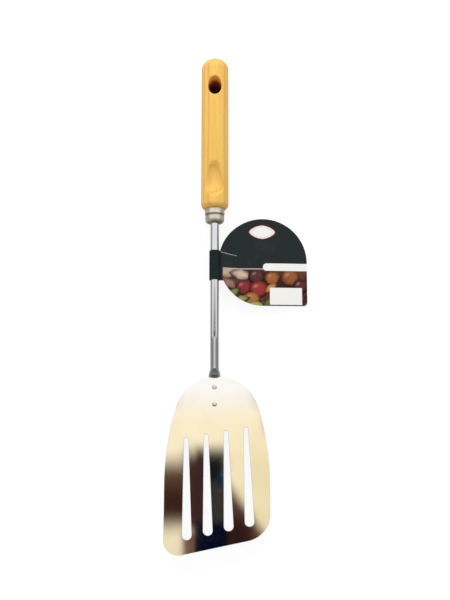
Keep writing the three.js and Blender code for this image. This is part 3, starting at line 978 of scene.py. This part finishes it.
strap_profile = [
    (strap_inside, strap_low.y), (strap_outside - strap_edge, strap_low.y),
    (strap_outside, strap_low.y + strap_edge), (strap_outside, strap_high.y - strap_edge),
    (strap_outside - strap_edge, strap_high.y), (strap_inside, strap_high.y),
]
made = bmesh.new()
skin(made, turned_rings(strap_profile, strap_points), looped=True)
bmesh.ops.translate(made, verts=made.verts, vec=(axis_x, 0, axis_z))
strap = piece_from("card_strap", made, 30, black_card_finish())
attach(strap, "tag_loop")
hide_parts("tag_strap")


# Hang tag card: a disc of printed card with one squared corner, joined to the strap by a short neck.
# The strap's end is tucked under a flap cut in its face, so the flap stands a little proud. The back of
# the card is not printed.
card_radius = 34 * mm
card_corner = 3 * mm
card_offset = 3.7 * mm
card_bow = 0.7 * mm
card_skew = 0.024
card_skew_run = 14 * mm
card_cut = 0.04 * mm
card_rings = 16
neck_length = 2.38 * mm
neck_half = 11.4 * mm
flap_length = 12.5 * mm
flap_tip = 16.8 * mm
flap_rise = 0.55 * mm
flap_rings = 36
flap_side_points = 14
low_arc_points = 44
high_arc_points = 90
card_edge_points = 10
neck_points = 12
strap_clearance = 0.05 * mm
neck_clearance = 0.3 * mm
table_clearance = 0.2 * mm
near_edge = strap_outside + strap_clearance
neck_edge = strap_outside + neck_clearance
neck_reach = sqrt(card_radius ** 2 - (neck_half + card_offset) ** 2)
card_centre = neck_edge + neck_length + neck_reach
far_edge = card_centre + card_radius
card_tilt = asin((axis_z - card_thickness / 2 - table_clearance) / far_edge)
print_unit = 100 * mm
bare_card = (0.71, 0.725, 0.72)
bare_card_fibre = (0.51, 0.525, 0.52)
tag_black = (0.017, 0.022, 0.023)
tag_black_worn = (0.034, 0.041, 0.042)
band_dark = (0.030, 0.012, 0.010)
band_brown = (0.13, 0.050, 0.022)
paper_white = (0.95, 0.945, 0.93)
paper_fibre = (0.88, 0.875, 0.85)
rule_grey = (0.60, 0.57, 0.54)
rule_fibre = (0.50, 0.47, 0.44)
oval_red = (0.36, 0.05, 0.06)
oval_grey = (0.52, 0.50, 0.46)
band_top = -5.2
oval_centre = (36.5, 23.6)
oval_half = (10.6, 5.6)


def card_outline():
    """The card's outline in its own plane: x is out from the shank's axis, y is along the shank."""
    low_turn, high_turn = [
        atan2(side - card_offset, -sqrt(card_radius ** 2 - (side - card_offset) ** 2))
        for side in (-neck_half, neck_half)]
    low_edge = card_offset - card_radius
    corner_x, corner_y = far_edge - card_corner, low_edge + card_corner
    shares = [n / card_edge_points for n in range(card_edge_points)]
    points = [(near_edge, -neck_half, 0.0)]
    points += arc(card_centre, card_offset, card_radius, low_turn, -pi / 2, low_arc_points)
    points += [(card_centre + (corner_x - card_centre) * share, low_edge, 0.0) for share in shares]
    points += arc(corner_x, corner_y, card_corner, -pi / 2, 0, card_edge_points)
    points += [(far_edge, corner_y + (card_offset - corner_y) * share, 0.0) for share in shares]
    points += arc(card_centre, card_offset, card_radius, 0, high_turn, high_arc_points)
    points += [(near_edge, neck_half * (1 - 2 * n / neck_points), 0.0) for n in range(neck_points)]
    return [Vector(point) for point in points]


def twisted(x):
    """How far the card's loose twist on the tube moves a point along the shank."""
    return card_skew * (x - card_centre) * min(max((x - near_edge) / card_skew_run, 0), 1)


def bowed(point):
    """Gives a point of the flat card its twist, and its slight bow between strap and table."""
    share = min(max((point.x - near_edge) / (far_edge - near_edge), 0), 1)
    up = point.z + card_bow * sin(pi * share)
    return Vector((point.x, point.y + twisted(point.x), up))


def sheet_rings(outline, middle, bottom, top, ring_count):
    """Rings over a sheet: out along its underside, round its cut edge and back over its face."""
    shares = [n / ring_count for n in range(1, ring_count)]
    levels = [(share, bottom) for share in shares] + [(1.0, bottom + card_cut), (1.0, top - card_cut)]
    levels += [(share, top) for share in shares[::-1]]
    return [
        [bowed(middle + (point - middle) * share + Vector((0, 0, up))) for point in outline]
        for share, up in levels]


def bare_card_finish():
    """Plain white card: the unprinted back, and its core where a knife has cut it."""
    finish, shader, place = new_finish("bare_card")
    fibres = card_texture(shader, place)[0]
    feed(shader, {"Base Color": tinted(fibres, bare_card, bare_card_fibre)})
    return finish


def box_mask(x, y, centre, half, rounding, edge):
    """1 inside a printed box with round corners and 0 outside, all in millimetres."""
    out_x = abs(x - centre[0]) - (half[0] - rounding)
    out_y = abs(y - centre[1]) - (half[1] - rounding)
    beyond = vector(x.tree, X=calc("MAXIMUM", out_x, 0.0), Y=calc("MAXIMUM", out_y, 0.0))
    return spread(length(beyond), rounding - edge, rounding + edge, 1.0, 0.0, "LINEAR")


def leaf_mask(x, y, centre, half, lean, pointed=1.0, edge=0.1):
    """1 inside a printed leaf or round and 0 outside, how far out a place is, and how far off its rib."""
    to_x, to_y = x - centre[0], y - centre[1]
    cosine, sine = cos(radians(lean)), sin(radians(lean))
    along = to_x * cosine + to_y * sine
    aside = to_y * cosine - to_x * sine
    out = abs(along / half[0]) ** (2 / pointed) + abs(aside / half[1]) ** (2 / pointed)
    return spread(out, 1 - edge, 1 + edge, 1.0, 0.0), out, aside


def printed_finish():
    """The printed face: black above a pale rule, and under it a dark band of leaves and round fruit."""
    finish, shader, place = new_finish("tag_print")
    fibres, handled = card_texture(shader, place)
    print_place = node(place.tree, "ShaderNodeUVMap", uv_map="print")
    x, y = [part * (print_unit / mm) for part in axes(print_place)[:2]]
    speck = noise(place, 480, 4)
    band = tinted(spread(noise(place, 120, 6), 0.35, 0.65), band_dark, band_brown)
    leaves = (
        ((9.5, -9.0), (9.0, 5.2), 15, 1.4, (0.44, 0.30, 0.22)),
        ((20, -10.4), (9.5, 4.6), -12, 1.4, (0.52, 0.38, 0.29)),
        ((10.5, -17.0), (8.0, 4.2), -30, 1.4, (0.26, 0.14, 0.10)),
        ((32, -11.5), (6.6, 6.2), 0, 1.0, (0.075, 0.016, 0.012)),
        ((44, -13.0), (6.2, 5.6), 0, 1.0, (0.30, 0.085, 0.018)),
        ((58, -12.4), (7.6, 6.8), 0, 1.0, (0.25, 0.070, 0.014)),
        ((66, -19.0), (6.0, 5.8), 0, 1.0, (0.075, 0.010, 0.010)),
        ((22, -20.0), (6.4, 6.0), 0, 1.0, (0.20, 0.014, 0.016)),
        ((33.5, -21.5), (7.4, 6.8), 0, 1.0, (0.27, 0.020, 0.014)),
        ((28, -29.4), (6.8, 6.0), 0, 1.0, (0.34, 0.13, 0.022)),
        ((43, -20.4), (6.6, 3.0), 38, 1.4, (0.46, 0.20, 0.045)),
        ((14, -24.9), (7.4, 3.4), 38, 1.4, (0.17, 0.19, 0.045)),
        ((20.5, -29.2), (7.0, 3.2), 12, 1.4, (0.23, 0.25, 0.070)),
        ((31, -33.2), (8.0, 2.8), -4, 1.4, (0.30, 0.30, 0.10)),
        ((42, -31.8), (6.0, 3.4), 24, 1.4, (0.10, 0.11, 0.025)),
    )
    for centre, half, lean, pointed, ink in leaves:
        mask, out, aside = leaf_mask(x, y, centre, half, lean, pointed)
        shade = spread(out, 0.1, 1.05) + spread(speck, 0.4, 0.65, -0.06, 0.12)
        shade = shade - spread(aside, -half[1] * 0.5, half[1] * 0.9, -0.18, 0.34)
        bright = tuple(min(1.0, value * 1.25 + 0.015) for value in ink)
        lit = tinted(shade, bright, tuple(value * 0.10 for value in ink))
        if pointed == 1:
            glint_centre = (centre[0] - half[0] * 0.3, centre[1] + half[1] * 0.4)
            glint = leaf_mask(x, y, glint_centre, (half[0] * 0.26, half[1] * 0.18), 25, edge=0.6)[0]
            lit = tinted(glint * 0.35, lit, tuple(value * 0.8 + 0.30 for value in ink))
        band = tinted(mask, band, lit)

    black = tinted(spread(handled, 0.5, 0.8, 0.0, 0.5), tag_black, tag_black_worn)
    paper = tinted(fibres, paper_white, paper_fibre)
    rule = tinted(fibres, rule_grey, rule_fibre)
    inks = tinted(spread(y, band_top - 0.05, band_top + 0.05, kind="LINEAR"), band, black)
    plates = (
        ((40, -5.4), (36, 0.35), 0.2, 0.15, rule),
        ((2, -4), (4.1, 20), 0.2, 0.12, black),
        ((56, -3.9), (19, 2.9), 2.8, 0.12, paper),
        ((54.7, -26.6), (12.5, 6.6), 0.3, 0.12, paper),
    )
    for centre, half, rounding, edge, ink in plates:
        inks = tinted(box_mask(x, y, centre, half, rounding, edge), inks, ink)
    for share, ink in ((1.0, oval_red), (0.92, paper), (0.78, oval_grey), (0.74, paper)):
        half = (oval_half[0] * share, oval_half[1] * share)
        inks = tinted(leaf_mask(x, y, oval_centre, half, 0, 1.25, 0.04)[0], inks, ink)
    feed(shader, {"Base Color": inks})
    return finish


made = bmesh.new()
middle = Vector((card_centre, card_offset, 0))
half_thickness = card_thickness / 2
card_rows = skin(made, sheet_rings(card_outline(), middle, -half_thickness, half_thickness, card_rings))
flap_corners = [
    Vector((neck_edge, card_thickness - neck_half, 0)),
    Vector((neck_edge + flap_length, -flap_tip / 2, 0)),
    Vector((neck_edge + flap_length, flap_tip / 2, 0)),
    Vector((neck_edge, neck_half - card_thickness, 0)),
]
flap_line = []
for corner, following in zip(flap_corners, flap_corners[1:] + flap_corners[:1]):
    flap_line += [corner.lerp(following, n / flap_side_points) for n in range(flap_side_points)]
flap_middle = sum(flap_corners, Vector()) / 4
flap_rows = skin(made, sheet_rings(flap_line, flap_middle, half_thickness, flap_rise, flap_rings))
sheet_ends = [made.faces.new(row) for row in (card_rows[0], card_rows[-1], flap_rows[0], flap_rows[-1])]
centres = bmesh.ops.poke(made, faces=sheet_ends)["verts"]
card_back = {centres[0], *(vert for row in card_rows[:card_rings] for vert in row)}
flap_top = slice(2 * flap_side_points, 3 * flap_side_points + 1)
flap_top_edge = {vert for row in flap_rows[flap_rings - 1:flap_rings + 2] for vert in row[flap_top]}

print_map = made.loops.layers.uv.new("print")
for face in made.faces:
    for corner in face.loops:
        x, y = corner.vert.co.x, corner.vert.co.y
        corner[print_map].uv = (x / print_unit, (y - card_offset - twisted(x)) / print_unit)
    if any(all(vert in bare for vert in face.verts) for bare in (card_back, flap_top_edge)):
        face.material_index = 1
tag_place = Matrix.Translation((axis_x, strap_middle, axis_z)) @ Matrix.Rotation(card_tilt, 4, "Y")
bmesh.ops.transform(made, matrix=tag_place, verts=made.verts)
card = piece_from("printed_card", made, 30, printed_finish(), bare_card_finish())
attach(card, "tag")
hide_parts("tag_card")


# Table and surroundings: a plain white table under soft light. Large boards that only mirror-bright
# metal sees hang over it, as they do in a tabletop studio, so that the plating has tones to show.
table_low = (-6, -6)
table_high = (6, 6)
table_top = -0.2 * mm
table_shadow_reach = 12 * mm
table_matt = 0.80
table_seen_matt = 0.23
table_glow = 0.84
table_mirrored_glow = 0.26
ceiling_low = (-0.7, -0.3)
ceiling_high = (0.7, 0.35)
ceiling_height = 1.0
bore_foot_y = shoulder_y + crown_y - hole_run + hole_half_length
studio_boards = (
    ("white_ceiling", (-20, 235), (140, 70), 0, (1.04, 1.02, 1.00), (30, 25)),
    ("cream_ceiling", (-15, -15), (230, 175), 0, (1.03, 0.895, 0.63), (60, 42)),
    ("straw_ceiling", (70, -30), (60, 125), 0, (0.90, 0.78, 0.475), (32, 60)),
    ("straw_corner", (-95, -90), (34, 60), 0, (0.89, 0.78, 0.53), (20, 20)),
    ("olive_board_right", (220, 200), (180, 38), 0, (0.36, 0.37, 0.23), (14, 22)),
    ("olive_board_left", (-270, 200), (180, 38), 0, (0.36, 0.37, 0.23), (14, 22)),
    ("shade_board_right", (236, 153), (180, 34), 0, (0.03, 0.03, 0.02), (10, 24)),
    ("shade_board_left", (-288, 153), (180, 34), 0, (0.03, 0.03, 0.02), (10, 24)),
    ("dim_board_right", (255, -10), (170, 160), 0, (0.03, 0.03, 0.02), (10, 30)),
    ("dim_board_left", (-300, -10), (170, 160), 0, (0.03, 0.03, 0.02), (10, 30)),
    ("brown_board_right", (-4, -40), (40, 100), 35, (0.095, 0.042, 0.027), (12, 14)),
    ("umber_board_right", (2, -56), (32, 34), 0, (0.028, 0.009, 0.008), (10, 22)),
    ("brown_board_left", (-96, 13), (30, 50), 0, (0.105, 0.054, 0.029), (5, 25)),
    ("umber_board_left", (-97, -1), (31, 26), 0, (0.042, 0.015, 0.009), (8, 22)),
    ("red_board", (-60, 13), (15, 66), 0, (0.055, 0.018, 0.013), (5, 22)),
    ("tan_board", (-63, -82), (13, 32), 0, (0.15, 0.08, 0.055), (6, 8)),
    ("plum_board", (-47, 15), (10, 68), 0, (0.040, 0.017, 0.019), (3, 16)),
    ("dark_board", (-24, 15), (18, 70), 0, (0.035, 0.031, 0.028), (4, 16)),
    ("dusk_board", (-25, 50), (16, 18), 0, (0.004, 0.007, 0.010), (3, 9)),
    ("blue_board", (-12, 36), (8, 12), 0, (0.002, 0.016, 0.045), (4, 5)),
    ("navy_board", (-31, -76), (26, 42), 0, (0.000, 0.003, 0.014), (1.5, 8)),
)
sky_level = 0.68
sky_brightest = 1.03


def stage_plane(name, low, high, z, finish):
    """A level sheet of the studio, between two corners."""
    mesh = bpy.data.meshes.new(name)
    corners = [(*low, z), (high[0], low[1], z), (*high, z), (low[0], high[1], z)]
    mesh.from_pydata(corners, [], [(0, 1, 2, 3)])
    mesh.materials.append(finish)
    sheet = placed(name, mesh)
    return sheet


def ray(tree, kind):
    """1 for rays of one kind and 0 for others."""
    return node(tree, "ShaderNodeLightPath", out=f"Is {kind} Ray")


def show_both(tree, first, second):
    """Ends a material with the sum of two shaders."""
    both = node(tree, "ShaderNodeAddShader", {0: first, 1: second})
    feed(tree.nodes["Material Output"], {"Surface": both})


def table_finish():
    """White laminate that keeps the object's shadow, with a painted contact shadow along the handle and
    painted shade under the hole's foot. The eye and bright metal see it as a white ground.
    """
    finish, shader, place = new_finish("table_white")
    tree = place.tree
    tree.nodes.remove(shader)
    seen = calc("MAXIMUM", ray(tree, "Camera"), ray(tree, "Transmission"))
    mirrored = ray(tree, "Glossy")
    open_share = node(tree, "ShaderNodeAmbientOcclusion", {"Distance": table_shadow_reach}, "AO", samples=16)
    from_foot = node(tree, "ShaderNodeVectorMath", {
        0: place, 1: (axis_x, bore_foot_y, table_top)}, "Value", operation="DISTANCE")
    # Painted shadow: the table darkened round the hole's foot and along the handle where it lies close over
    # the table.
    painted_shadow_under_bore = spread(from_foot, 3.5 * mm, 5 * mm, 1.0, 0.0) * spread(open_share, 0.60, 0.90, 1.0, 0.0)
    past_shoulder = spread(axes(place)[1], shoulder_y, shoulder_y + 9 * mm)
    painted_shadow_under_handle = past_shoulder * spread(open_share, 0.15, 0.60, 0.8, 0.0)
    lit = 1.0 - calc("MAXIMUM", painted_shadow_under_bore, painted_shadow_under_handle)
    glow_level = (seen * table_glow + mirrored * table_mirrored_glow) * lit
    matt_level = (table_matt - calc("MAXIMUM", seen, mirrored) * (table_matt - table_seen_matt)) * lit
    matt = node(tree, "ShaderNodeBsdfDiffuse", {"Color": matt_level})
    show_both(tree, matt, node(tree, "ShaderNodeEmission", {"Color": (1, 1, 1), "Strength": glow_level}))
    return finish


def ceiling_finish(boards):
    """Soft-edged boards over one another, each later one on top, with clear air where there is none."""
    finish, shader, place = new_finish("studio_ceiling")
    tree = place.tree
    tree.nodes.remove(shader)
    light, gap = (0, 0, 0), 1.0
    for label, centre, half, turn, colour, softness in boards:
        local = node(tree, "ShaderNodeMapping", {
            "Vector": place, "Location": (centre[0] * mm, centre[1] * mm, 0),
            "Rotation": (0, 0, radians(turn))}, label=label, vector_type="TEXTURE")
        across, along = [
            spread(abs(away), (reach - soft) * mm, (reach + soft) * mm, 1.0, 0.0)
            for away, reach, soft in zip(axes(local), half, softness)]
        mask = across * along
        light = tinted(mask, light, colour)
        gap = (1.0 - mask) * gap
    glow = node(tree, "ShaderNodeEmission", {"Color": light, "Strength": 1})
    show_both(tree, glow, node(tree, "ShaderNodeBsdfTransparent", {"Color": gap}))
    return finish


stage_plane("table", table_low, table_high, table_top, table_finish())
ceiling = stage_plane(
    "studio_ceiling", ceiling_low, ceiling_high, ceiling_height, ceiling_finish(studio_boards))
for kind in ("camera", "diffuse", "transmission", "volume_scatter", "shadow"):
    setattr(ceiling, "visible_" + kind, False)

world = bpy.data.worlds.new("studio")
world.use_nodes = True
bpy.context.scene.world = world
sky = world.node_tree
sky_x, sky_y, sky_z = axes(node(sky, "ShaderNodeTexCoord", out="Generated"))
sky_open = spread(sky_y, -0.16, -0.02, 0.0, 0.62) + spread(sky_y, 0.12, 0.30, 0.0, 0.38)
sky_open = sky_open * spread(sky_z, 0.12, 0.42)
sky_dim = spread(sky_z, 0.15, 0.60, 0.05, 0.36) + spread(sky_z, 0.80, 0.93, 0.0, 0.40)
sky_dim = sky_dim * spread(sky_y, -0.75, -0.45, 0.45, 1.0)
sky_front = spread(sky_y, -0.66, -0.54, 1.0, 0.0) * spread(sky_z, 0.36, 0.62, 1.0, 0.0)
sky_dim = sky_dim + sky_front * spread(abs(sky_x), 0.25, 0.5, 0.12, 0.57)
sky_mirrored = sky_dim + sky_open * (sky_brightest - sky_dim)
sky_shown = ray(sky, "Glossy") * (sky_mirrored - sky_level) + sky_level
sky_seen = calc("MAXIMUM", ray(sky, "Camera"), ray(sky, "Transmission"))
feed(sky.nodes["Background"], {
    "Color": (0.99, 0.99, 1.0), "Strength": calc("MAXIMUM", sky_shown, sky_seen)})

lamp = bpy.data.lights.new("key_lamp", "AREA")
lamp.shape = "RECTANGLE"
lamp.size = 1.3
lamp.size_y = 0.7
lamp.energy = 14.5
lamp.color = (1.0, 0.98, 0.95)
key_lamp = placed("key_lamp", lamp)
key_lamp.location = (-0.1, 1.25, 0.72)
key_lamp.rotation_euler = (-key_lamp.location).to_track_quat("-Z", "Y").to_euler()
key_lamp.visible_glossy = False

camera_aim = Vector((-9.1, -2.6, 10.33)) * mm
camera_lean = radians(12)
camera_distance = 850 * mm
camera = bpy.data.cameras.new("photo_camera")
camera.lens = 67.68
camera.sensor_width = 36
photo_camera = placed("photo_camera", camera)
camera_way = Vector((0, -sin(camera_lean), cos(camera_lean)))
photo_camera.location = camera_aim + camera_way * camera_distance
photo_camera.rotation_euler = (camera_lean, 0, 0)
bpy.context.scene.camera = photo_camera
bpy.context.scene.view_settings.view_transform = "Standard"
